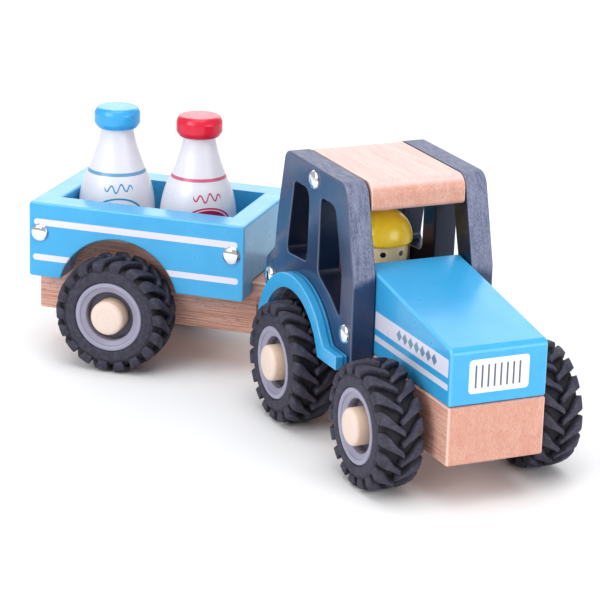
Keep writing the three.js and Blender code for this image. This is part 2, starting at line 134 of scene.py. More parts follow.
def rounded(corners, closed=True, segments=6):
    """Points of an outline whose corners (u, v, radius) are true arcs."""
    points = []
    count = len(corners)
    for i, (u, v, radius) in enumerate(corners):
        here = Vector((u, v))
        end = not closed and i in (0, count - 1)
        if radius <= 0 or end:
            points.append(here)
            continue
        before = Vector(corners[i - 1][:2]) - here
        after = Vector(corners[(i + 1) % count][:2]) - here
        half = before.angle(after) / 2
        if abs(half - math.pi / 2) < 1e-3:
            points.append(here)
            continue
        reach = min(radius / math.tan(half), before.length * MAX_REACH, after.length * MAX_REACH)
        r = reach * math.tan(half)
        centre = here + (before.normalized() + after.normalized()).normalized() * (r / math.sin(half))
        a = here + before.normalized() * reach - centre
        b = here + after.normalized() * reach - centre
        start = math.atan2(a.y, a.x)
        sweep = (math.atan2(b.y, b.x) - start + math.pi) % (2 * math.pi) - math.pi
        for k in range(segments + 1):
            angle = start + sweep * k / segments
            points.append(centre + Vector((math.cos(angle), math.sin(angle))) * r)
    return points


def arc(cx, cz, radius, start, end, steps):
    """Corner list along an arc, angles in degrees."""
    out = []
    for k in range(steps + 1):
        angle = math.radians(start + (end - start) * k / steps)
        out.append((cx + radius * math.cos(angle), cz + radius * math.sin(angle), 0))
    return out


def area(loop):
    return sum(a.x * b.y - b.x * a.y for a, b in zip(loop, loop[1:] + loop[:1])) / 2


def inset(loop, distance):
    """The loop moved to its left."""
    out = []
    for i, here in enumerate(loop):
        d0 = (here - loop[i - 1]).normalized()
        d1 = (loop[(i + 1) % len(loop)] - here).normalized()
        n0, n1 = Vector((-d0.y, d0.x)), Vector((-d1.y, d1.x))
        out.append(here + (n0 + n1) * (distance / max(1 + n0.dot(n1), MIN_MITRE)))
    return out


PLANES = {
    "side": lambda u, v, h, c: (u, c - h, v),
    "plan": lambda u, v, h, c: (u, v, c + h),
}


def board_mesh(name, outline, low, high, edge, plane="side", holes=(), steps=4, low_edge=None):
    """A board cut to an outline, with windows and rounded edges.

    edge is the rounding where h is highest in PLANES, and low_edge, if that is given, where h is lowest.
    In the side plane h runs towards -y. An 'edge' value marks the roundings, and an 'outer' value
    everything but the windows."""
    low_edge = edge if low_edge is None else low_edge
    loops = []
    for i, loop in enumerate([outline, *holes]):
        loop = [Vector(p[:2]) for p in loop]
        if (area(loop) > 0) != (i == 0):
            loop.reverse()
        loops.append(loop)
    half, centre = (high - low) / 2, (high + low) / 2
    place = PLANES[plane]
    turns = [math.pi / 2 * k / steps for k in range(steps + 1)]
    rings = [(edge * (1 - math.sin(a)), half - edge * (1 - math.cos(a)), math.sin(2 * a)) for a in turns]
    rings += [(low_edge * (1 - math.sin(a)), low_edge * (1 - math.cos(a)) - half, math.sin(2 * a))
              for a in reversed(turns)]
    verts, faces, marks, outer = [], [], [], []
    starts = []
    for loop_number, loop in enumerate(loops):
        ids = []
        for distance, height, mark in rings:
            ids.append(len(verts))
            for p in inset(loop, distance):
                verts.append(Vector(place(p.x, p.y, height, centre)) * MM)
                marks.append(mark)
                outer.append(0.0 if loop_number else 1.0)
        starts.append(ids)
        n = len(loop)
        for upper, lower in zip(ids, ids[1:]):
            for i in range(n):
                j = (i + 1) % n
                faces.append((lower + i, lower + j, upper + j, upper + i))
    flat = [(loop_i, i) for loop_i, loop in enumerate(loops) for i in range(len(loop))]
    capped = [[Vector((p.x, p.y, 0)) for p in inset(loop, edge)] for loop in loops]
    for tri in tessellate_polygon(capped):
        top = [starts[flat[i][0]][0] + flat[i][1] for i in tri]
        bottom = [starts[flat[i][0]][-1] + flat[i][1] for i in tri]
        faces += [tuple(top), tuple(reversed(bottom))]
    mesh = make_mesh(name, verts, faces, marks)
    mesh.attributes.new("outer", "FLOAT", "POINT").data.foreach_set("value", outer)
    return mesh


def make_mesh(name, verts, faces, marks=None, sharp=None):
    mesh = bpy.data.meshes.new(name)
    mesh.from_pydata(verts, [], faces)
    attribute = mesh.attributes.new("edge", "FLOAT", "POINT")
    attribute.data.foreach_set("value", marks or [0.0] * len(verts))
    bm = bmesh.new()
    bm.from_mesh(mesh)
    bmesh.ops.recalc_face_normals(bm, faces=bm.faces)
    bm.to_mesh(mesh)
    bm.free()
    mesh.polygons.foreach_set("use_smooth", [True] * len(mesh.polygons))
    if sharp is not None:
        mesh.set_sharp_from_angle(angle=math.radians(sharp))
    return mesh


def lathe_mesh(name, profile, segments=72, axis="Z", sharp=50):
    """A solid of revolution from (radius, height) points, which start and end on the axis or form a
    closed loop."""
    verts, faces, rings = [], [], []
    for r, h in profile:
        if r < 1e-6:
            rings.append([len(verts)])
            verts.append(Vector((0, 0, h)))
            continue
        rings.append(list(range(len(verts), len(verts) + segments)))
        for k in range(segments):
            a = 2 * math.pi * k / segments
            verts.append(Vector((r * math.cos(a), r * math.sin(a), h)))
    pairs = list(zip(rings, rings[1:]))
    if len(rings[0]) > 1:
        pairs.append((rings[-1], rings[0]))
    for low, high in pairs:
        for k in range(segments):
            m = (k + 1) % segments
            if len(low) == 1:
                faces.append((low[0], high[m], high[k]))
            elif len(high) == 1:
                faces.append((low[k], low[m], high[0]))
            else:
                faces.append((low[k], low[m], high[m], high[k]))
    if axis == "Y":
        verts = [Vector((v.x, v.z, -v.y)) for v in verts]
    return make_mesh(name, [v * MM for v in verts], faces, sharp=sharp)


def spline(points, per_span):
    """Catmull-Rom through (radius, height) points."""
    out = []
    for i in range(len(points) - 1):
        p0, p1, p2, p3 = (Vector(points[min(max(k, 0), len(points) - 1)]) for k in range(i - 1, i + 3))
        for k in range(per_span):
            t = k / per_span
            out.append(tuple(0.5 * (2 * p1 + (p2 - p0) * t + (2 * p0 - 5 * p1 + 4 * p2 - p3) * t * t
                                    + (3 * p1 - p0 - 3 * p2 + p3) * t ** 3)))
    out.append(tuple(points[-1]))
    return out


def piece(name, mesh, material, body, nodes, space, offset=(0, 0, 0), weighted=False):
    """Puts a finished mesh in the scene, rides it on its body and lets it stand for its CAD nodes."""
    obj = bpy.data.objects.new(name, mesh)
    bpy.context.scene.collection.objects.link(obj)
    mesh.materials.clear()
    mesh.materials.append(material)
    if isinstance(offset, Matrix):
        obj.matrix_world = space @ offset
    else:
        obj.matrix_world = space @ Matrix.Translation(Vector(offset) * MM)
    if weighted:
        modifier = obj.modifiers.new("flat faces", "WEIGHTED_NORMAL")
        modifier.keep_sharp = True
        modifier.weight = 80
    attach(obj, body)
    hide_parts(*nodes)
    return obj


def board_piece(name, mesh, material, body, node):
    """A flat-faced piece, made in the space of the tractor or the trailer, whichever carries it."""
    space = TRAILER if body == "trailer" else TRACTOR
    piece(name, mesh, material, body, [node], space, weighted=True)


# ---- material helpers

class Value:
    """A shader socket that can be used in arithmetic."""

    def __init__(self, graph, socket):
        self.graph, self.socket = graph, socket

    def op(self, kind, *others):
        return self.graph.math(kind, self, *others)

    def __add__(self, other):
        return self.op("ADD", other)

    def __sub__(self, other):
        return self.op("SUBTRACT", other)

    def __mul__(self, other):
        return self.op("MULTIPLY", other)

    def __truediv__(self, other):
        return self.op("DIVIDE", other)

    def __rsub__(self, other):
        return self.graph.math("SUBTRACT", other, self)

    __radd__ = __add__

    def abs(self):
        return self.op("ABSOLUTE")

    def above(self, limit):
        return self.op("GREATER_THAN", limit)

    def below(self, limit):
        return self.op("LESS_THAN", limit)

    def within(self, low, high):
        return self.above(low) * self.below(high)

    def max(self, other):
        return self.op("MAXIMUM", other)

    def ramp(self, low, high, start=0.0, end=1.0):
        """Goes smoothly from start to end as the value goes from low to high."""
        node = self.graph.add("ShaderNodeMapRange", interpolation_type="SMOOTHSTEP")
        self.graph.feed(node.inputs["Value"], self)
        for key, number in (("From Min", low), ("From Max", high), ("To Min", start), ("To Max", end)):
            node.inputs[key].default_value = number
        return Value(self.graph, node.outputs["Result"])


class Graph:
    """A Principled material with short calls for its nodes. Coordinates are object space in millimetres."""

    def __init__(self, name):
        self.material = bpy.data.materials.new(name)
        self.material.use_nodes = True
        self.tree = self.material.node_tree
        self.shader = self.tree.nodes["Principled BSDF"]
        coords = self.add("ShaderNodeTexCoord")
        scale = self.add("ShaderNodeVectorMath", operation="SCALE")
        self.tree.links.new(coords.outputs["Object"], scale.inputs[0])
        scale.inputs["Scale"].default_value = 1 / MM
        self.point = scale.outputs[0]
        split = self.add("ShaderNodeSeparateXYZ")
        self.tree.links.new(self.point, split.inputs[0])
        self.x, self.y, self.z = (Value(self, split.outputs[k]) for k in range(3))
        side = self.add("ShaderNodeSeparateXYZ")
        self.tree.links.new(coords.outputs["Normal"], side.inputs[0])
        self.nx, self.ny, self.nz = (Value(self, side.outputs[k]) for k in range(3))
        self.edge = self.attribute("edge")
        self.height = None

    def add(self, kind, **settings):
        node = self.tree.nodes.new(kind)
        for key, value in settings.items():
            setattr(node, key, value)
        return node

    def attribute(self, name):
        return Value(self, self.add("ShaderNodeAttribute", attribute_name=name).outputs["Fac"])

    def feed(self, socket, value):
        if isinstance(value, Value):
            self.tree.links.new(value.socket, socket)
        elif hasattr(value, "is_output"):
            self.tree.links.new(value, socket)
        else:
            socket.default_value = value

    def math(self, kind, *values):
        node = self.add("ShaderNodeMath", operation=kind)
        for socket, value in zip(node.inputs, values):
            self.feed(socket, value)
        return Value(self, node.outputs[0])

    def noise(self, scale, detail=3.0, roughness=0.5, stretch=(1, 1, 1), offset=(0, 0, 0), distortion=0.0):
        mapping = self.add("ShaderNodeMapping")
        self.tree.links.new(self.point, mapping.inputs["Vector"])
        mapping.inputs["Scale"].default_value = stretch
        mapping.inputs["Location"].default_value = offset
        node = self.add("ShaderNodeTexNoise")
        self.tree.links.new(mapping.outputs[0], node.inputs["Vector"])
        node.inputs["Scale"].default_value = scale
        node.inputs["Detail"].default_value = detail
        node.inputs["Roughness"].default_value = roughness
        node.inputs["Distortion"].default_value = distortion
        return Value(self, node.outputs["Fac"])

    def mix(self, share, first, second):
        node = self.add("ShaderNodeMix", data_type="RGBA")
        self.feed(node.inputs["Factor"], share)
        colour_sockets = [s for s in node.inputs if s.type == "RGBA"]
        for socket, value in zip(colour_sockets, (first, second)):
            if isinstance(value, tuple):
                socket.default_value = (*value, 1)
            else:
                self.tree.links.new(value, socket)
        return next(s for s in node.outputs if s.type == "RGBA")

    def bump(self, height, distance, strength=1.0):
        """Adds relief, height 0 to 1, distance in millimetres."""
        node = self.add("ShaderNodeBump")
        node.inputs["Strength"].default_value = strength
        node.inputs["Distance"].default_value = distance * MM
        self.feed(node.inputs["Height"], height)
        if self.height is not None:
            self.tree.links.new(self.height, node.inputs["Normal"])
        self.height = node.outputs["Normal"]

    def finish(self, colour, roughness, **constants):
        self.feed(self.shader.inputs["Base Color"], (*colour, 1) if isinstance(colour, tuple) else colour)
        self.feed(self.shader.inputs["Roughness"], roughness)
        for key, value in constants.items():
            self.shader.inputs[key.replace("_", " ")].default_value = value
        if self.height is not None:
            self.tree.links.new(self.height, self.shader.inputs["Normal"])
        return self.material


def rgb(red, green, blue):
    """Linear colour from 0-255 display values."""
    out = []
    for channel in (red, green, blue):
        c = channel / 255
        out.append(c / 12.92 if c <= 0.04045 else ((c + 0.055) / 1.055) ** 2.4)
    return tuple(out)


# ---- materials

def beech(name, seed=0.0, tone=1.0, painted_top_sheen=0.0):
    """Bare sanded beech, grain along x, with darker end grain on the x faces and pale eased edges.

    tone darkens or lightens the wood, and the last argument says how far its upward faces are paled towards
    white: a painted sheen for the light from above."""
    g = Graph(name)

    def shade(red, green, blue):
        return rgb(red * tone, green * tone, blue * tone)

    broad = g.noise(0.16, 3, 0.5, (0.08, 1, 1), (seed, seed, 0), 0.4)
    lines = g.noise(1.35, 3, 0.7, (0.03, 1, 1), (seed, 3, seed))
    fleck = g.noise(2.6, 2, 0.5, (0.16, 1, 1), (seed, 7, 1)).ramp(0.62, 0.7)
    end = g.nx.abs().ramp(0.55, 0.85)
    rays = g.noise(1.8, 3, 0.7, (1, 1, 0.22), (0, seed, 0))
    pores = g.noise(2.4, 3, 0.7, (1, 0.3, 1.3), (seed, 0, 5))
    rings = g.noise(0.3, 2, 0.5, (1, 1.6, 0.3), (seed, 1, 2))
    grain = lines * (1 - end) + (rays * 0.5 + pores * 0.5) * end
    wander = g.noise(0.12, 2, 0.5, (0.2, 1, 1), (seed, 0, 4)) * 16
    hatch = g.math("SINE", (g.y + g.z * 0.8) * 6.8 + wander).ramp(-0.4, 1.0) * (1 - end)
    base = g.mix(broad.ramp(0.3, 0.7), shade(222, 170, 152), shade(230, 186, 172))
    base = g.mix(hatch * grain.ramp(0.25, 0.6, 0.2, 0.5), base, shade(244, 214, 202))
    base = g.mix(grain.ramp(0.38, 0.66) * 0.7, base, shade(192, 132, 110))
    base = g.mix(fleck * (1 - end) * 0.65, base, shade(150, 92, 74))
    base = g.mix(end * rings.ramp(0.35, 0.65) * 0.25, base, shade(206, 150, 128))
    base = g.mix(end * 0.2, base, shade(190, 134, 116))
    # Painted sheen: upward faces are paled towards white, as if lit from above.
    base = g.mix(g.nz.ramp(0.4, 0.8) * painted_top_sheen, base, rgb(240, 232, 236))
    base = g.mix(g.edge * 0.6, base, rgb(246, 222, 208))
    g.bump(grain, 0.07, 0.7)
    g.bump(fleck, 0.03, 0.5)
    return g.finish(base, grain.ramp(0.2, 0.8, 0.5, 0.66), Specular_IOR_Level=0.5)


def paint_base(g, colour, deep, edge_colour, seed):
    """Brushed-on paint: slightly uneven colour, thinner on the eased edges, with the wood showing
    through as faint relief. Returns the colour and the cloudy value that varies it."""
    cloud = g.noise(0.09, 3, 0.5, (1, 1, 1), (seed, 0, 0))
    speck = g.noise(2.6, 2, 0.5, (1, 1, 1), (0, seed, 0))
    base = g.mix(cloud.ramp(0.3, 0.7) * 0.35, colour, deep)
    base = g.mix(speck.ramp(0.62, 0.75) * 0.12, base, deep)
    base = g.mix(g.edge * 0.45, base, edge_colour)
    relief = g.noise(1.1, 4, 0.6, (0.06, 1, 1), (seed, 2, 0))
    peel = g.noise(1.7, 2, 0.5, (1, 1, 1), (0, 0, seed))
    open_grain = g.noise(1.6, 3, 0.7, (1, 1, 0.5), (seed, 0, 2)) * g.nx.abs().ramp(0.6, 0.9)
    g.bump(relief, 0.02, 0.3)
    g.bump(peel, 0.006, 0.25)
    g.bump(open_grain, 0.07, 0.8)
    return base, cloud


BLUE = rgb(72, 176, 228)
BLUE_DEEP = rgb(54, 162, 220)
BLUE_EDGE = rgb(128, 202, 238)
NAVY = rgb(54, 73, 106)
NAVY_DEEP = rgb(45, 61, 92)
NAVY_EDGE = rgb(112, 122, 152)
# The next two colours are painted light on the lit sawn edges and painted shade inside the cab and in the
# windows.
NAVY_PAINTED_LIGHT = rgb(138, 141, 162)
NAVY_PAINTED_SHADE = rgb(14, 26, 48)
PRINT_WHITE = rgb(236, 234, 246)
STRIPE_WHITE = rgb(226, 225, 242)
INK = rgb(96, 104, 118)
LOZENGE_GREY = rgb(112, 150, 178)
PLY_LINE = rgb(30, 116, 168)
PRINT_DEPTH = 0.35  # how far under a face its print reaches, mm


def rounded_box(u, v, centre, half, radius):
    """1 inside a rectangle with rounded corners in the (u, v) plane."""
    du = ((u - centre[0]).abs() - (half[0] - radius)).max(0.0)
    dv = ((v - centre[1]).abs() - (half[1] - radius)).max(0.0)
    return (du * du + dv * dv).below(radius * radius)


def blue_paint(name, prints, seed):
    """Light blue paint. prints(g), or None, gives (mask, colour) pairs of what is printed over it."""
    g = Graph(name)
    base, cloud = paint_base(g, BLUE, BLUE_DEEP, BLUE_EDGE, seed)
    for mask, colour in (prints(g) if prints else ()):
        base = g.mix(mask, base, colour)
    return g.finish(base, cloud.ramp(0.2, 0.8, 0.26, 0.34), Coat_Weight=0.35, Coat_Roughness=0.15)


def bonnet_prints(g):
    """A band with a row of lozenges and a thin line on each side, and a plate with bars on the front."""
    on_side = g.y.abs().above(HALF_WIDTH - PRINT_DEPTH)
    on_front = g.x.above(-PRINT_DEPTH)
    middle, band_z, half_length = -36.0, 62.5, 34.0
    band = rounded_box(g.x, g.z, (middle, band_z), (half_length, 3.9), 0.6)
    line = rounded_box(g.x, g.z, (middle, 54.45), (half_length, 1.35), 0.4)
    yield on_side * band.max(line), STRIPE_WHITE
    first, count, pitch, half_height, aspect = -14.7, 7, 5.4, 2.55, 1.05
    cell = g.math("PINGPONG", g.x - first + pitch / 2, pitch / 2)
    across = pitch / 2 - cell
    lozenge = across * aspect + (g.z - band_z).abs()
    row = g.x.within(first - (count - 0.5) * pitch, first + pitch / 2)
    yield on_side * row * lozenge.below(half_height), LOZENGE_GREY
    plate = rounded_box(g.y, g.z, (0.0, 58.6), (13.9, 7.3), 1.7)
    yield on_front * plate, PRINT_WHITE
    bar_offset, bar_pitch, bar_half_width, bars_half_length = 10.7, 2.9, 0.42, 11.3
    bar = g.math("PINGPONG", g.y + bar_offset, bar_pitch / 2).below(bar_half_width)
    yield on_front * bar * g.y.abs().below(bars_half_length) * g.z.within(53.6, 63.4), INK


def fender_prints(g):
    """Joints of the plywood layers, seen through the paint on the sawn edge."""
    depth = g.y.abs() - (HALF_WIDTH + PANEL_THICK)
    half_line, strength = 0.42, 0.85
    joint = (g.math("PINGPONG", depth, PLY) - PLY * 0.98).above(-half_line)
    on_sawn_edge = g.ny.abs().below(0.5)
    yield joint * on_sawn_edge * strength, PLY_LINE


def trailer_side_prints(g):
    """Two stripes along the side board, the lower one broken by the wheel arch."""
    on_face = g.y.abs().above(BOX_HALF - PRINT_DEPTH)
    middle = TRAILER_AXLE + 7.6
    upper = rounded_box(g.x, g.z, (middle, 67.0), (50.6, 1.6), 1.5)
    lower = rounded_box(g.x, g.z, (middle, 49.8), (51.2, 1.5), 1.4)
    clear_of_arch = (g.x - TRAILER_AXLE + TRAILER_ARCH_SHIFT).abs().above(24.2)
    yield on_face * upper.max(lower * clear_of_arch), STRIPE_WHITE


def navy_paint(name, seed):
    """Semi-gloss navy paint, with painted light on the outer sawn edges and painted shade, near black, on
    the inner faces and in the windows.
    """
    g = Graph(name)
    base, cloud = paint_base(g, NAVY, NAVY_DEEP, NAVY_EDGE, seed)
    rim = g.ny.abs().ramp(0.75, 0.4)
    outer = g.attribute("outer").above(0.5)
    # Painted shade: the inner faces and the window reveals are darkened to near black.
    painted_inside_shade = (g.y.abs().below(HALF_WIDTH + 1.2) * (1 - rim)).max(rim * (1 - outer))
    base = g.mix(painted_inside_shade * 0.8, base, NAVY_PAINTED_SHADE)
    fibres = g.noise(2.0, 3, 0.7, (1, 1, 0.35), (seed, 5, 0))
    streaks = g.noise(0.5, 3, 0.6, (0.3, 1, 0.2), (seed, 0, 8))
    # Painted shadow of the bonnet: the front edge is kept dark below a ragged line that falls outwards,
    # just above the bonnet.
    line_z, fall, front_x, raggedness = 80.5, -0.3, -73.0, 2.0
    ragged = g.noise(0.5, 2, 0.5, (1, 1, 1), (seed, 1, 1)) * raggedness
    line = line_z + (g.y.abs() - HALF_WIDTH) * fall + ragged
    bonnet_shadow = g.x.above(front_x) * (line - g.z).ramp(-1.5, 2.5)
    # Painted light: the outer sawn edges are lightened to a grey-violet, broken up by fibres and streaks,
    # but not in the bonnet's painted shadow.
    painted_edge_light = (fibres * 0.6 + streaks * 0.4).ramp(0.36, 0.62, 0.3, 1.0) * (1 - bonnet_shadow * 0.95)
    base = g.mix(rim * outer * painted_edge_light, base, NAVY_PAINTED_LIGHT)
    g.bump(fibres * rim, 0.16, 0.9)
    roughness = rim * outer * (1 - bonnet_shadow) * 0.4 + cloud.ramp(0.2, 0.8, 0.17, 0.23)
    g.feed(g.shader.inputs["Coat Weight"], (1 - rim) * (1 - painted_inside_shade) * 0.45)
    return g.finish(base, roughness, Coat_Roughness=0.12)


def rubber():
    """Dusty black rubber, darkened down in the grooves as painted shade. The 'edge' value is 1 on the lugs
    and the sidewall and 0 down in the grooves.
    """
    g = Graph("rubber")
    painted_edge_light = g.noise(0.35, 4, 0.6)
    grit = g.noise(2.4, 3, 0.7)
    scuff = g.noise(0.9, 3, 0.6, (1, 0.3, 1))
    worn = g.mix(painted_edge_light.ramp(0.35, 0.75), rgb(54, 52, 66), rgb(74, 72, 88))
    worn = g.mix(scuff.ramp(0.5, 0.75) * 0.4, worn, rgb(94, 92, 110))
    # Painted shade: the grooves, where 'edge' is 0, are darker than the lugs.
    base = g.mix(g.edge.ramp(0.1, 0.8), rgb(33, 32, 41), worn)
    base = g.mix(grit.ramp(0.64, 0.72) * 0.75, base, rgb(150, 148, 168))
    g.bump(grit, 0.09, 0.7)
    g.bump(painted_edge_light, 0.1, 0.3)
    return g.finish(base, grit.ramp(0.3, 0.7, 0.5, 0.75), Specular_IOR_Level=0.5)


def rim_plastic():
    g = Graph("rim_plastic")
    cloud = g.noise(0.12, 2)
    fine = g.noise(2.5, 2)
    base = g.mix(cloud.ramp(0.3, 0.7) * 0.4, rgb(158, 156, 176), rgb(168, 166, 186))
    base = g.mix(fine.ramp(0.66, 0.8) * 0.2, base, rgb(136, 132, 152))
    # Painted shade: darker deeper in the rim, towards the recess behind the hub.
    base = g.mix(g.y.ramp(-2.6, -5.6) * 0.85, base, rgb(98, 95, 108))
    g.bump(fine, 0.012, 0.3)
    return g.finish(base, fine.ramp(0.2, 0.8, 0.36, 0.44))


def chrome():
    g = Graph("chrome")
    scratch = g.noise(1.6, 3, 0.6, (0.3, 1, 1))
    base = g.mix(scratch.ramp(0.3, 0.7) * 0.3, rgb(236, 238, 242), rgb(206, 209, 216))
    g.bump(scratch, 0.002, 0.2)
    return g.finish(base, scratch.ramp(0.2, 0.8, 0.05, 0.1), Metallic=1.0)


def steel():
    g = Graph("steel")
    turned = g.noise(1.5, 3, 0.6, (1, 0.15, 1))
    base = g.mix(turned.ramp(0.3, 0.7), rgb(150, 152, 156), rgb(188, 190, 194))
    g.bump(turned, 0.02, 0.4)
    return g.finish(base, turned.ramp(0.2, 0.8, 0.25, 0.42), Metallic=1.0)


def pale_wood():
    """Turned birch plug seen on its end grain."""
    g = Graph("pale_wood")
    radius = g.math("SQRT", g.x * g.x + g.z * g.z)
    ring = g.math("SINE", radius * 2.2 + g.noise(0.3, 2) * 9.0)
    pores = g.noise(2.6, 3, 0.6)
    base = g.mix(ring.ramp(-1, 1) * 0.14, rgb(232, 213, 202), rgb(219, 195, 178))
    base = g.mix(g.y.ramp(2.4, 1.2) * 0.6, base, rgb(228, 196, 166))
    base = g.mix(pores.ramp(0.58, 0.75) * 0.3, base, rgb(208, 182, 160))
    g.bump(pores, 0.05, 0.5)
    return g.finish(base, pores.ramp(0.3, 0.7, 0.45, 0.62), Specular_IOR_Level=0.4)


def gloss_paint(name, colour, deep, light):
    g = Graph(name)
    cloud = g.noise(0.15, 3)
    peel = g.noise(0.9, 2)
    base = g.mix(cloud.ramp(0.3, 0.7) * 0.5, colour, deep)
    base = g.mix(g.edge * 0.3, base, light)
    g.bump(peel, 0.02, 0.35)
    return g.finish(base, cloud.ramp(0.2, 0.8, 0.24, 0.34), Coat_Weight=0.3, Coat_Roughness=0.1)


def face_paint():
    """Lacquered pale wood head with two painted eyes looking forward."""
    g = Graph("face_paint")
    eye_y, eye_z, eye_radius_squared = 4.4, 80.4, 1.5
    grain = g.noise(1.2, 3, 0.6, (1, 1, 0.08))
    base = g.mix(grain.ramp(0.3, 0.7), rgb(240, 224, 190), rgb(228, 208, 170))
    for sign in (-1, 1):
        across = g.y - sign * eye_y
        up = g.z - eye_z
        eye = (across * across + up * up).below(eye_radius_squared) * g.x.above(0.0)
        base = g.mix(eye, base, rgb(28, 24, 26))
    g.bump(grain, 0.03, 0.4)
    return g.finish(base, 0.38, Coat_Weight=0.3, Coat_Roughness=0.15)


def bottle_paint(name, ink, fill, badge_angle, ring):
    """White painted bottle with a coloured neck ring, a wavy line and an oval badge on its front."""
    g = Graph(name)
    cloud = g.noise(0.12, 3)
    turning = g.noise(1.3, 3, 0.6, (0.1, 0.1, 1.4))
    base = g.mix(cloud.ramp(0.3, 0.7) * 0.5, rgb(230, 229, 236), rgb(220, 220, 229))
    print_radius, ring_width = 17.0, 1.5
    turn = g.math("ARCTAN2", g.y, g.x) - badge_angle
    arc_length = g.math("WRAP", turn, -math.pi, math.pi) * print_radius
    z = g.z - BOTTLE_BASE
    base = g.mix(z.within(ring, ring + ring_width) * 0.85, base, ink)
    wave_z, wave_half_length, rate, height, steepness, pen = 22.9, 7.2, 1.3, 1.6, 2.1, 0.34
    wave = g.math("SINE", arc_length * rate) * height + g.math("SINE", arc_length * 0.62) * 0.5
    slope = g.math("COSINE", arc_length * rate) * steepness
    width = g.math("SQRT", slope * slope + 1.0) * pen
    stroke = (width - (z - wave_z - wave).abs()).above(0.0) * arc_length.abs().below(wave_half_length)
    base = g.mix(stroke, base, ink)
    badge_z, badge_half_width, badge_half_height = 10.2, 11.8, 8.4
    du, dv = arc_length / badge_half_width, (z - badge_z) / badge_half_height
    oval = du * du + dv * dv
    base = g.mix(oval.within(0.82, 1.0), base, ink)
    base = g.mix(oval.below(0.72), base, fill)
    g.bump(turning, 0.02, 0.4)
    return g.finish(base, cloud.ramp(0.2, 0.8, 0.3, 0.4), Coat_Weight=0.3, Coat_Roughness=0.14)


BADGE_ANGLE = {"blue": math.radians(-65.0), "red": math.radians(-54.0)}

BEECH = beech("beech", 0.0)
BEECH_ROOF = beech("beech_roof", 11.0, painted_top_sheen=0.38)
BEECH_TRAILER = beech("beech_trailer", 23.0, 0.98)
RUBBER = rubber()
RIM = rim_plastic()
CHROME = chrome()
STEEL = steel()
PLUG = pale_wood()
FENDER_PAINT = blue_paint("fender_paint", fender_prints, 6.0)


# ---- tractor body

def block(name, x0, x1, y0, y1, z0, z1, edge, side_edge=None):
    """A plain board between two corners. side_edge, if that is given, is the rounding on its y faces."""
    r = edge * 1.02
    side_edge = edge if side_edge is None else side_edge
    outline = rounded([(x0, z0, r), (x1, z0, r), (x1, z1, r), (x0, z1, r)], segments=3)
    return board_mesh(name, outline, y0, y1, side_edge, steps=3)


def join_meshes(name, meshes):
    """One mesh whose parts are united into a single closed skin."""
    objects = []
    for i, mesh in enumerate(meshes):
        obj = bpy.data.objects.new(f"{name}_{i}", mesh)
        bpy.context.scene.collection.objects.link(obj)
        objects.append(obj)
    base = objects[0]
    for other in objects[1:]:
        modifier = base.modifiers.new("join", "BOOLEAN")
        modifier.operation = "UNION"
        modifier.object = other
        modifier.solver = "EXACT"
    graph = bpy.context.evaluated_depsgraph_get()
    result = bpy.data.meshes.new_from_object(base.evaluated_get(graph))
    result.name = name
    for obj in objects:
        bpy.data.objects.remove(obj)
    return result


def build_chassis():
    body = block("chassis_body", CHASSIS_REAR, 0, -HALF_WIDTH, HALF_WIDTH, CHASSIS_BOTTOM, CHASSIS_TOP, 1.1)
    start, tongue_half, tongue_top = CHASSIS_REAR + 4, 14, 32.5
    outline = [(start, -tongue_half), *arc(PIN_X, 0, tongue_half, -90, -270, 32), (start, tongue_half)]
    tongue = board_mesh("tongue_body", outline, CHASSIS_BOTTOM + 0.05, tongue_top, 0.8, "plan")
    mesh = join_meshes("chassis_wood", [body, tongue])
    board_piece("chassis_wood", mesh, BEECH, "tractor", "chassis")


def build_bonnet():
    bottom, top_front, slope = CHASSIS_TOP + GLUE_GAP, 70.8, 0.17
    outline = rounded([
        (BONNET_REAR, bottom, 1.3), (0, bottom, 1.3), (0, top_front, 3.2),
        (BONNET_REAR, top_front - slope * BONNET_REAR, 1.5)])
    mesh = board_mesh("bonnet_wood", outline, -HALF_WIDTH, HALF_WIDTH, 1.2)
    look = blue_paint("bonnet_paint", bonnet_prints, 3.0)
    board_piece("bonnet_wood", mesh, look, "tractor", "bonnet")


def build_seat():
    rear, front, bottom = CHASSIS_REAR + 2, BONNET_REAR - GAP, CHASSIS_TOP + GLUE_GAP
    seat_top, back_top, back_front = 60, 76, -127.2
    outline = rounded([
        (rear, bottom, 0.5), (front, bottom, 0.5), (front, seat_top, 0.8), (back_front, seat_top, 0.6),
        (back_front, back_top, 1.5), (rear + 8, back_top, 1.5), (rear, seat_top, 1.5)], segments=4)
    mesh = board_mesh("seat_wood", outline, -HALF_WIDTH + GAP, HALF_WIDTH - GAP, 0.5)
    board_piece("seat_wood", mesh, BEECH, "tractor", "seat_block")


def chord(z, radius, cz):
    return math.sqrt(radius ** 2 - (z - cz) ** 2)


def chord_angle(z, radius, cz):
    return math.degrees(math.asin((z - cz) / radius))


def cab_side_outline():
    front = chord_angle(40, ARCH_R, ARCH_Z)
    rear = chord_angle(42, ARCH_R, ARCH_Z)
    over = arc(REAR_AXLE, ARCH_Z, ARCH_R, front, 180 - rear, 30)
    return rounded([
        *[(u, v, 0.8 if i in (0, 30) else 0) for i, (u, v, _) in enumerate(over)],
        (-162.2, 42, 1.4), (-161.8, 65.5, 4.5), (-152.8, 73, 5), (-150.9, 88, 12), (-143.6, PANEL_TOP, 5.2),
        (-80.6, PANEL_TOP, 7), (-70.1, 81, 7), (-70.1, 40, 1.2)])


REAR_WINDOW = [(-139.8, 74.2, 2.6), (-117.9, 75.6, 3), (-117.4, 108.4, 5), (-133.4, 108.4, 2.5)]
FRONT_WINDOW = [(-106.2, 73.6, 4), (-93.6, 67.6, 5), (-83, 60.4, 1.3), (-82.4, 80, 6), (-90.6, 108, 5),
                (-105.3, 108, 2.2)]


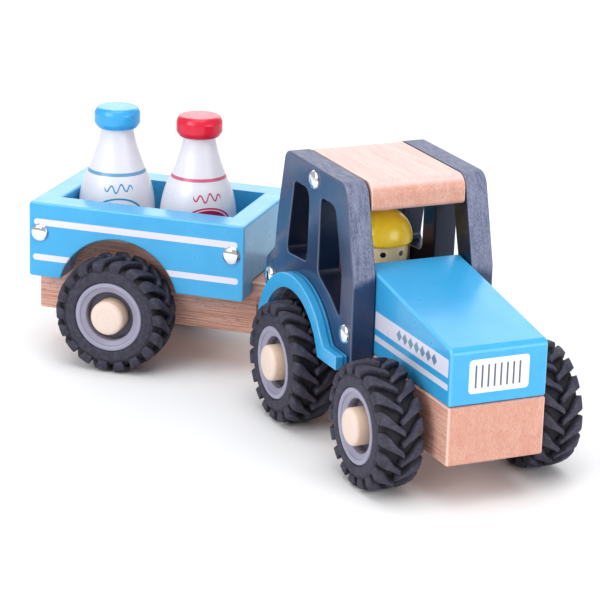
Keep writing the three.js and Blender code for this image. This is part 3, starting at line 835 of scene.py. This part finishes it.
def build_cab():
    inner, outer = HALF_WIDTH + GAP, HALF_WIDTH + PANEL_THICK
    for label, side in (("right", -1), ("left", 1)):
        low, high = sorted((side * inner, side * outer))
        mesh = board_mesh(f"cab_panel_{label}", cab_side_outline(), low, high, 0.8,
                          holes=[rounded(REAR_WINDOW), rounded(FRONT_WINDOW)])
        look = navy_paint(f"navy_{label}", 4.0 * side)
        board_piece(f"cab_panel_{label}", mesh, look, "tractor", f"cab_side_{label}")
        low, high = sorted((side * (outer + 0.05), side * (outer + FENDER_THICK)))
        mesh = board_mesh(f"fender_{label}_ply", fender_outline(), low, high, 0.6)
        board_piece(f"fender_{label}_ply", mesh, FENDER_PAINT, "tractor", f"fender_{label}")


def fender_outline():
    foot_top, foot_bottom, foot_front, tip = 46.7, 40.2, -72.9, 42
    inner = arc(REAR_AXLE, ARCH_Z, ARCH_R, chord_angle(foot_bottom, ARCH_R, ARCH_Z),
                180 - chord_angle(tip, ARCH_R, ARCH_Z), 36)
    outer = arc(REAR_AXLE, ARCH_Z, FENDER_R, 180 - chord_angle(tip, FENDER_R, ARCH_Z), 32, 36)
    meet = (REAR_AXLE + chord(foot_top, FENDER_R, ARCH_Z) + 0.9, foot_top, 3.0)
    return rounded([(foot_front, foot_bottom, 1.0), *inner, *outer, meet, (foot_front, foot_top, 1.0)])


def build_roof():
    front, bottom = -77.9, 107.8
    outline = rounded([(-141.4, bottom, 0.9), (front, bottom, 2.0), (front, PANEL_TOP, 7.5),
                       (-143.6, PANEL_TOP, 4.5)], segments=10)
    mesh = board_mesh("roof_wood", outline, -HALF_WIDTH + 0.2, HALF_WIDTH - 0.2, 0.5)
    board_piece("roof_wood", mesh, BEECH_ROOF, "tractor", "roof_board")


def quarter_dome(radius, base, rise, steps):
    """(radius, height) points from just above the rim of a dome to its top, on the axis."""
    turns = [math.pi / 2 * k / steps for k in range(1, steps)]
    return [*[(radius * math.cos(a), base + rise * math.sin(a)) for a in turns], (0, base + rise)]


def dome_mesh(name):
    radius, lip_radius, lip_bottom, base = 4.15, 4.3, -0.1, 0.5
    profile = [(0, lip_bottom), (radius, lip_bottom), (lip_radius, 0.05), (lip_radius, 0.3), (radius, base),
               *quarter_dome(radius, base, 1.45, 8)]
    return lathe_mesh(name, profile, 48, "Y", sharp=35)


def turn_to(side):
    return Matrix.Rotation(math.pi, 4, "Z") if side < 0 else Matrix.Identity(4)


SCREWS = (("top", -112, 114.3), ("front", -76.6, 55), ("rear", -157, 58))
TRAILER_SCREW_Z = 62


def build_domes():
    domes = []
    for label, side in (("right", -1), ("left", 1)):
        for spot, x, z in SCREWS:
            at = Vector((x, side * (HALF_WIDTH + PANEL_THICK), z)) * MM
            domes.append((f"screw_cap_{spot}_{label}", at, side, TRACTOR, "tractor"))
        for spot, x in (("rear", BOX_REAR + 5.7), ("front", BOX_FRONT - 6.1)):
            at = Vector((x, side * BOX_HALF, TRAILER_SCREW_Z)) * MM
            domes.append((f"trailer_screw_cap_{spot}_{label}", at, side, TRAILER, "trailer"))
    for node, at, side, space, body in domes:
        place = Matrix.Translation(at) @ turn_to(side)
        piece(f"{node}_dome", dome_mesh(f"{node}_dome"), CHROME, body, [node], space, place)


# ---- wheels

LUGS = 18
PITCH = 2 * math.pi / LUGS
SLANT = math.radians(17.0)
LUG_R = 25.8
# The crown's middle line waves by WAVE mm, and rows feel it more and more from row WAVE_FROM on.
WAVE = 1.5
WAVE_FROM = 13
# Points (y, r) from the bead up the sidewall.
SIDEWALL = [(-1.9, 15.9), (-1.9, 16.5), (-0.55, 16.6), (-0.12, 17.1), (0.0, 17.9), (0.0, 20.8),
            (-0.1, 21.2), (-0.45, 21.4)]
# Rows from the bead to the crown: groove (y, r), lug top (y, r), lug share, lug half-width, slant share.
TREAD = [
    *[(point, point, 0, 2.6, 0) for point in SIDEWALL],
    ((-0.6, 21.9), (-0.6, 21.9), 0, 2.5, 0),
    ((-0.75, 22.2), (-0.4, 22.1), 1, 2.4, 0),
    ((-1.0, 22.8), (-0.02, 22.5), 1, 2.5, 0),
    ((-1.5, 23.4), (0.0, 23.9), 1, 2.65, 0),
    ((-2.2, 23.9), (-0.05, 25.3), 1, 2.8, 0.02),
    ((-3.0, 24.2), (-0.55, 26.2), 1, 2.75, 0.06),
    ((-3.8, 24.35), (-1.7, 26.75), 1, 2.65, 0.14),
    ((-4.8, 24.4), (-3.4, 27.1), 1, 2.35, 0.29),
    ((-6.2, 24.45), (-5.6, 27.3), 1, 2.0, 0.50),
    ((-7.8, 24.5), (-7.6, 27.45), 1, 1.75, 0.72),
    ((-9.0, 24.5), (-8.9, 27.5), 1, 1.55, 0.88),
    ((-9.45, 24.5), (-9.35, 27.45), 1, 1.4, 0.94),
    ((-9.7, 24.5), (-9.6, 27.1), 1, 1.2, 0.97),
    ((-9.8, 24.5), (-9.8, 24.55), 0, 0.6, 0.985),
    ((-10.0, 24.5), (-10.0, 24.5), 0, 0.6, 1.0),
]
# Columns of one pitch: side of the lug, distance beyond its edge in mm, height share.
COLUMNS = [(-1, 0.42, 0), (-1, 0.2, 0.06), (-1, 0.03, 0.93), (-1, -0.13, 1), (0, 0, 1),
           (1, -0.13, 1), (1, 0.03, 0.93), (1, 0.2, 0.06), (1, 0.42, 0)]
MIDDLE_COLUMN = len(COLUMNS) // 2
GROOVE_COLUMNS = 3
PER_PITCH = len(COLUMNS) + GROOVE_COLUMNS
SIDEWALL_ROWS = len(SIDEWALL) + 1  # rows with the colour of the lugs


def tread_ring(row_index):
    """One ring of (angle, y, radius, mark) points of the outer half of the tread."""
    groove, top, lug, half_width, slant = TREAD[row_index]
    crown_row = len(TREAD) - 1
    wave_share = max((row_index - WAVE_FROM) / (crown_row - WAVE_FROM), 0)
    ring = []
    for k in range(LUGS):
        lead = k * PITCH + slant * SLANT
        spread = [(s * (half_width + d) / LUG_R, h) for s, d, h in COLUMNS]
        lug_end = spread[-1][0]
        gap = PITCH - 2 * lug_end
        for n in range(GROOVE_COLUMNS):
            spread.append((lug_end + gap * (n + 1) / (GROOVE_COLUMNS + 1), 0))
        for n, (offset, height) in enumerate(spread):
            if row_index == crown_row:
                offset = PITCH * (n - MIDDLE_COLUMN) / PER_PITCH
            angle = lead + offset
            share = height * lug
            y = groove[0] + (top[0] - groove[0]) * share
            r = groove[1] + (top[1] - groove[1]) * share
            wave = math.cos(LUGS * (angle - SLANT))
            mark = 1.0 if row_index < SIDEWALL_ROWS else share
            ring.append((angle, y - WAVE * wave * wave_share, r, mark))
    return ring


def tyre_mesh(name, hand):
    """A lugged tyre from its outer face at y = 0 towards -y. hand, -1 or 1, is the way the lugs lean."""
    count = LUGS * PER_PITCH
    half = PER_PITCH // 2
    verts, marks, rings = [], [], []

    def add_ring(points):
        rings.append(list(range(len(verts), len(verts) + count)))
        for angle, y, r, mark in points:
            verts.append(Vector((hand * r * math.cos(angle), y, r * math.sin(angle))) * MM)
            marks.append(mark)

    for i in range(len(TREAD)):
        add_ring(tread_ring(i))
    for i in reversed(range(len(TREAD) - 1)):
        ring = [(a + PITCH / 2, -TYRE_WIDTH - y, r, s) for a, y, r, s in tread_ring(i)]
        add_ring(ring[-half:] + ring[:-half])
    faces = []
    for a, b in zip(rings, rings[1:] + rings[:1]):
        for i in range(count):
            j = (i + 1) % count
            faces.append((a[i], a[j], b[j], b[i]))
    return make_mesh(name, verts, faces, marks, sharp=48)


def rim_profile():
    outer = rounded([
        (3.3, -6.2, 0), (11.4, -6.2, 0.5), (11.7, -1.9, 0.5), (13.9, -0.95, 0.3), (14.2, -0.35, 0.25),
        (14.9, 0.0, 0.35), (16.0, 0.0, 0.4), (16.45, -0.5, 0.3), (16.45, -1.85, 0), (15.6, -2.0, 0)],
        closed=False, segments=4)
    inner = rounded([
        (15.6, -18.0, 0), (16.45, -18.15, 0), (16.45, -19.5, 0.3), (16.0, -20.0, 0.4), (14.4, -20.0, 0.4),
        (13.7, -9.0, 0.6), (6.2, -8.8, 0.5), (6.0, -24.0, 0.5), (3.3, -24.2, 0)],
        closed=False, segments=4)
    return outer + inner


def hub_profile():
    return rounded([(0, -5.6, 0), (8.1, -5.6, 0), (8.1, 2.35, 1.9), (5.0, 2.95, 2.5), (0, 3.1, 0)],
                   closed=False, segments=8)


WHEEL_SETS = {
    "front": (FRONT_AXLE, RIM_PLANE, TRACTOR, "tractor", {"right": 7.0, "left": 2.0}),
    "rear": (REAR_AXLE, RIM_PLANE, TRACTOR, "tractor", {"right": 13.0, "left": 5.0}),
    "trailer": (TRAILER_AXLE, TRAILER_RIM_PLANE, TRAILER, "trailer", {"right": 3.0, "left": 9.0}),
}


def build_wheels():
    hands = {"right": 1, "left": -1}
    rod_setback, bevel = 3.2, 0.3
    rim = lathe_mesh("rim", rim_profile(), 96, "Y", sharp=40)
    hub = lathe_mesh("hub", hub_profile(), 64, "Y", sharp=40)
    for axle, (x, plane, space, carrier, spins) in WHEEL_SETS.items():
        for label, side in (("right", -1), ("left", 1)):
            at = Matrix.Translation(Vector((x, side * plane, AXLE_Z)) * MM)
            placed = at @ turn_to(side)
            key = f"{axle}_{label}"
            body = f"wheel_{key}"
            tread = tyre_mesh(f"tyre_{key}_tread", hands[label])
            tread.transform(Matrix.Rotation(math.radians(spins[label]), 4, "Y"))
            piece(f"tyre_{key}_tread", tread, RUBBER, body, [f"tyre_{key}"], space, placed)
            piece(f"rim_{key}_moulding", rim, RIM, body, [f"rim_{key}"], space, placed)
            piece(f"hub_cap_{key}_plug", hub, PLUG, carrier, [f"hub_cap_{key}"], space, placed)
        reach = plane - rod_setback
        profile = [(0, -reach), (AXLE_R - bevel, -reach), (AXLE_R, -reach + bevel), (AXLE_R, reach - bevel),
                   (AXLE_R - bevel, reach), (0, reach)]
        rod = lathe_mesh(f"axle_{axle}_rod", profile, 32, "Y")
        piece(f"axle_{axle}_rod", rod, STEEL, carrier, [f"axle_{axle}"], space, (x, 0, AXLE_Z))


# ---- driver, hitch

def build_driver():
    body = spline([(11.9, 51.0), (12.4, 52), (12.4, 58), (11.3, 63.5), (9.4, 67), (9.5, 69.8), (10.9, 73),
                   (11.8, 76.5), (11.95, 80), (11.9, 83.5)], 5)
    profile = [(0, 50.6), (11.5, 50.6), *body, (11.5, 83.75), (0, 83.75)]
    mesh = lathe_mesh("driver_figure", profile, 72)
    piece("driver_figure", mesh, face_paint(), "tractor", ["driver_body"], TRACTOR,
          (DRIVER_X, 0, 0))
    hat = [(0, 83.8), (12.6, 83.8), (13.3, 84.0), (13.7, 84.6), (13.75, 85.6),
           *quarter_dome(13.7, 85.8, 13.5, 16)]
    mesh = lathe_mesh("driver_cap", hat, 72, sharp=60)
    look = gloss_paint("hat_yellow", rgb(255, 222, 66), rgb(255, 210, 44), rgb(252, 228, 100))
    piece("driver_cap", mesh, look, "tractor", ["driver_hat"], TRACTOR, (DRIVER_X, 0, 0))


def build_pin():
    profile = rounded([
        (0, 24.3, 0), (4.0, 24.3, 0.3), (4.0, 32.8, 0), (7.4, 32.8, 0.4), (7.4, 34.4, 0.4), (4.0, 34.4, 0),
        (4.0, 49.6, 2.2), (2.0, 50.9, 1.0), (0, 51.0, 0)], closed=False, segments=5)
    mesh = lathe_mesh("hitch_peg", profile, 48)
    piece("hitch_peg", mesh, STEEL, "hitch_pin", ["hitch_pin"], TRACTOR, (PIN_X, 0, 0))


# ---- trailer

def build_trailer_beam():
    """An upper board with the round nose over the pin, united with a shorter lower one."""
    nose_radius, nose_bottom, hole_radius, step_x, lower_top, edge = 22.4, 34.7, 4.4, -18.5, 40, 0.9
    rear_end = [(BOX_REAR + GAP, HALF_WIDTH), (BOX_REAR + GAP, -HALF_WIDTH)]
    nose = arc(0, 0, nose_radius, -90, 90, 40)
    step = [(step_x, -HALF_WIDTH), (step_x, HALF_WIDTH)]
    pin_hole = arc(0, 0, hole_radius, 0, 345, 23)
    upper = board_mesh("beam_upper", [*rear_end, *nose], nose_bottom, CHASSIS_TOP, edge, "plan",
                       holes=[pin_hole])
    lower = board_mesh("beam_lower", [*rear_end, *step], CHASSIS_BOTTOM, lower_top, edge, "plan")
    mesh = join_meshes("trailer_beam_wood", [upper, lower])
    board_piece("trailer_beam_wood", mesh, BEECH_TRAILER, "trailer", "trailer_beam")


def trailer_side_outline():
    arch_z, arch_r = 32.5, 30.0
    cx = TRAILER_AXLE - TRAILER_ARCH_SHIFT
    angle = chord_angle(SIDE_BOTTOM, arch_r, arch_z)
    over = arc(cx, arch_z, arch_r, angle, 180 - angle, 36)
    return rounded([
        (BOX_FRONT, BOX_TOP, 1.4), (BOX_FRONT, SIDE_BOTTOM, 1.4),
        *[(u, v, 1.0 if i in (0, 36) else 0) for i, (u, v, _) in enumerate(over)],
        (BOX_REAR, SIDE_BOTTOM, 1.4), (BOX_REAR, BOX_TOP, 1.4)])


def build_trailer_box():
    look = blue_paint("trailer_side_paint", trailer_side_prints, 9.0)
    wall_look = blue_paint("trailer_wall_paint", None, 9.0)
    outer_edge, end_edge, bed_edge = 0.9, 1.37, 0.4
    for label, side in (("right", -1), ("left", 1)):
        low, high = sorted((side * BOX_INNER, side * BOX_HALF))
        # The inner face, where the end boards meet it, has almost no rounding.
        edge, low_edge = (JOINT_EDGE, outer_edge) if side > 0 else (outer_edge, JOINT_EDGE)
        mesh = board_mesh(f"trailer_panel_{label}", trailer_side_outline(), low, high, edge,
                          low_edge=low_edge)
        board_piece(f"trailer_panel_{label}", mesh, look, "trailer", f"trailer_side_{label}")
    half, bottom = BOX_INNER + JOINT_LAP, CHASSIS_TOP + GLUE_GAP
    for label, x in (("rear", BOX_REAR), ("front", BOX_FRONT - END_THICK)):
        mesh = block(f"trailer_end_{label}", x, x + END_THICK, -half, half, bottom, BOX_TOP, end_edge,
                     side_edge=JOINT_EDGE)
        board_piece(f"trailer_end_{label}", mesh, wall_look, "trailer", f"trailer_wall_{label}")
    mesh = block("trailer_bed", BOX_REAR + END_THICK + GLUE_GAP, BOX_FRONT - END_THICK - GLUE_GAP,
                 -half, half, bottom, FLOOR_TOP, bed_edge)
    board_piece("trailer_bed", mesh, BEECH_TRAILER, "trailer", "trailer_floor")


def build_bottles():
    side = [(16.9, 0.25), (17.9, 1.6), (18.15, 4), (18.2, 8), (18.15, 12), (17.65, 16.5), (16.9, 20.2),
            (15.6, 24.7), (13.7, 28.6), (12.7, 31.2), (11.7, 33.8), (10.2, 38.2), (8.85, 42.8), (7.9, 47),
            (7.7, 49)]
    blue_ink, red_ink, red_badge = rgb(58, 150, 190), rgb(206, 50, 104), rgb(178, 14, 84)
    looks = {
        "blue": (bottle_paint("bottle_print_blue", blue_ink, PRINT_WHITE, BADGE_ANGLE["blue"], 28.1),
                 gloss_paint("cap_blue", rgb(66, 172, 230), rgb(40, 150, 216), rgb(120, 200, 240))),
        "red": (bottle_paint("bottle_print_red", red_ink, red_badge, BADGE_ANGLE["red"], 29.8),
                gloss_paint("cap_red", rgb(222, 30, 66), rgb(196, 16, 50), rgb(240, 110, 130))),
    }
    cap = rounded([(0, 49.3, 0), (9.4, 49.3, 1.0), (10.9, 51.6, 2.2), (10.9, 56.4, 2.6), (9.5, 59.1, 2.0),
                   (0, 59.1, 0)], closed=False, segments=10)
    bottle_profile = [(r, h + BOTTLE_BASE) for r, h in [(0, 0), (16.2, 0), *spline(side, 4), (0, 49)]]
    lid_profile = [(r, h + BOTTLE_BASE) for r, h in cap]
    for name, x in BOTTLE_X.items():
        bottle_look, lid_look = looks[name]
        mesh = lathe_mesh(f"bottle_{name}_turned", bottle_profile, 96)
        piece(f"bottle_{name}_turned", mesh, bottle_look, f"bottle_{name}", [f"bottle_{name}"],
              TRAILER, (x, 0, 0))
        mesh = lathe_mesh(f"bottle_lid_{name}", lid_profile, 72)
        piece(f"bottle_lid_{name}", mesh, lid_look, f"bottle_{name}", [f"bottle_cap_{name}"],
              TRAILER, (x, 0, 0))


# ---- stage

def build_floor():
    g = Graph("floor")
    cloud = g.noise(0.002, 2)
    base = g.mix(cloud.ramp(0.3, 0.7) * 0.2, (0.93, 0.93, 0.935), (0.91, 0.91, 0.92))
    material = g.finish(base, 0.6, Specular_IOR_Level=0.2)
    half = 6.0
    corners = [(-half, -half, 0), (half, -half, 0), (half, half, 0), (-half, half, 0)]
    mesh = bpy.data.meshes.new("floor")
    mesh.from_pydata(corners, [], [(0, 1, 2, 3)])
    mesh.materials.append(material)
    floor = bpy.data.objects.new("floor", mesh)
    bpy.context.scene.collection.objects.link(floor)
    floor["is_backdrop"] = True


def area_light(name, position, target, size, power):
    data = bpy.data.lights.new(name, "AREA")
    data.shape = "RECTANGLE"
    data.size, data.size_y = size
    data.energy = power
    obj = bpy.data.objects.new(name, data)
    obj.location = position
    obj.rotation_euler = (Vector(target) - Vector(position)).to_track_quat("-Z", "Y").to_euler()
    bpy.context.scene.collection.objects.link(obj)


def toward(azimuth, elevation, distance):
    """A point in the studio. Azimuth 90 is ahead of the tractor (+x) and 180 on its left (+y)."""
    a, e = math.radians(azimuth), math.radians(elevation)
    return Vector((math.sin(a) * math.cos(e), -math.cos(a) * math.cos(e), math.sin(e))) * distance


LIGHTS = {
    # name: azimuth, elevation, distance, (width, height), power
    "softbox_top": (60, 78, 1.5, (1.3, 1.3), 9.5),
    "softbox_key": (116, 16, 1.3, (0.8, 0.6), 4.2),
    "softbox_back": (245, 28, 2.2, (2.6, 1.3), 14),
    "softbox_fill": (18, 30, 1.9, (1.2, 0.9), 11),
}
LIGHT_TARGET = (0, 0, 0.06)
SKY_COLOUR = (0.97, 0.985, 1, 1)
SKY_STRENGTH = 0.48


def build_lights():
    for name, (azimuth, elevation, distance, size, power) in LIGHTS.items():
        area_light(name, toward(azimuth, elevation, distance), LIGHT_TARGET, size, power)
    world = bpy.data.worlds.new("studio")
    bpy.context.scene.world = world
    world.use_nodes = True
    background = world.node_tree.nodes["Background"]
    background.inputs["Color"].default_value = SKY_COLOUR
    background.inputs["Strength"].default_value = SKY_STRENGTH


# The camera that fits the photo: angles in degrees, target in tractor space, distance in metres.
CAMERA_AZIMUTH, CAMERA_ELEVATION, CAMERA_ROLL = 65.31, 17.78, 1.73
CAMERA_TARGET = (-90.0, -48.99, 67.96)
CAMERA_DISTANCE = 1.1236
CAMERA_LENS = 157.24


def build_camera():
    roll = math.radians(CAMERA_ROLL)
    target = TRACTOR @ (Vector(CAMERA_TARGET) * MM)
    away = toward(CAMERA_AZIMUTH, CAMERA_ELEVATION, 1.0)
    right = (-away).cross(Vector((0, 0, 1))).normalized()
    up = right.cross(-away)
    rolled_right = right * math.cos(roll) + up * math.sin(roll)
    rolled_up = up * math.cos(roll) - right * math.sin(roll)
    data = bpy.data.cameras.new("camera")
    data.lens = CAMERA_LENS
    data.sensor_width = 36.0
    data.clip_start = 0.05
    camera = bpy.data.objects.new("camera", data)
    matrix = Matrix((rolled_right, rolled_up, away)).transposed().to_4x4()
    matrix.translation = target + away * CAMERA_DISTANCE
    camera.matrix_world = matrix
    bpy.context.scene.collection.objects.link(camera)
    bpy.context.scene.camera = camera


bpy.context.scene.view_settings.view_transform = "Standard"
bpy.context.scene.view_settings.look = "Medium High Contrast"
build_camera()
build_chassis()
build_bonnet()
build_seat()
build_cab()
build_roof()
build_domes()
build_wheels()
build_driver()
build_pin()
build_trailer_beam()
build_trailer_box()
build_bottles()
build_floor()
build_lights()

boxes = {"cad": cad_bounds, "visual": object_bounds()}
{key: [list(corner) for corner in box] for key, box in boxes.items()}
